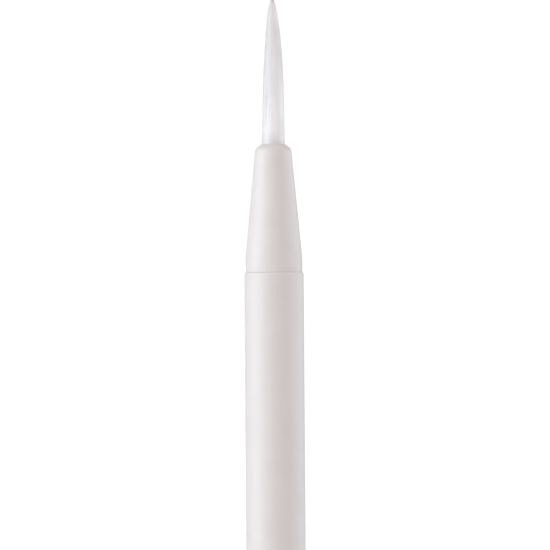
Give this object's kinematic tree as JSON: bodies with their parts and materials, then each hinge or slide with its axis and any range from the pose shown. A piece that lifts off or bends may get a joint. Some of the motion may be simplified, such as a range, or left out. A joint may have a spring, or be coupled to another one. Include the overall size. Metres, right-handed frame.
{
  "type": "acrylic nail brush",
  "caption": "Slim white nail sculpting brush: straight tube barrel, conical nose with a bevelled mouth, and a pointed round tuft of nylon filaments that bends at the mouth",
  "frame": {"origin": "centre of the flat face of the tail plug, which the brush stands on", "axes": "+Z runs along the barrel from the tail to the tip of the tuft; the tuft bends about +Y"},
  "size_m": [0.0074, 0.0074, 0.1447],
  "materials": {
    "white_plastic": "satin moulded plastic, white with a faint warm cast",
    "inner_plastic": "unpolished natural white plastic",
    "epoxy": "cured clear amber epoxy",
    "binding_thread": "waxed polyester thread",
    "nylon_filament": "fine translucent white nylon filament, slightly glossy"
  },
  "bodies": {
    "handle": {"barrel": "white_plastic", "tail_plug": "white_plastic", "nose": "white_plastic", "retainer": "inner_plastic", "root_bead": "epoxy", "root_binding": "binding_thread", "tuft_root": "nylon_filament"},
    "tuft": {"tuft": "nylon_filament"}
  },
  "joints": [
    {"name": "tuft_flex", "type": "hinge", "parent": "handle", "child": "tuft", "pos_m": [0, 0, 0.1266], "axis": [0, 1, 0], "range_deg": [-35, 35], "stiffness_Nm_per_rad": 0.0025}
  ]
}
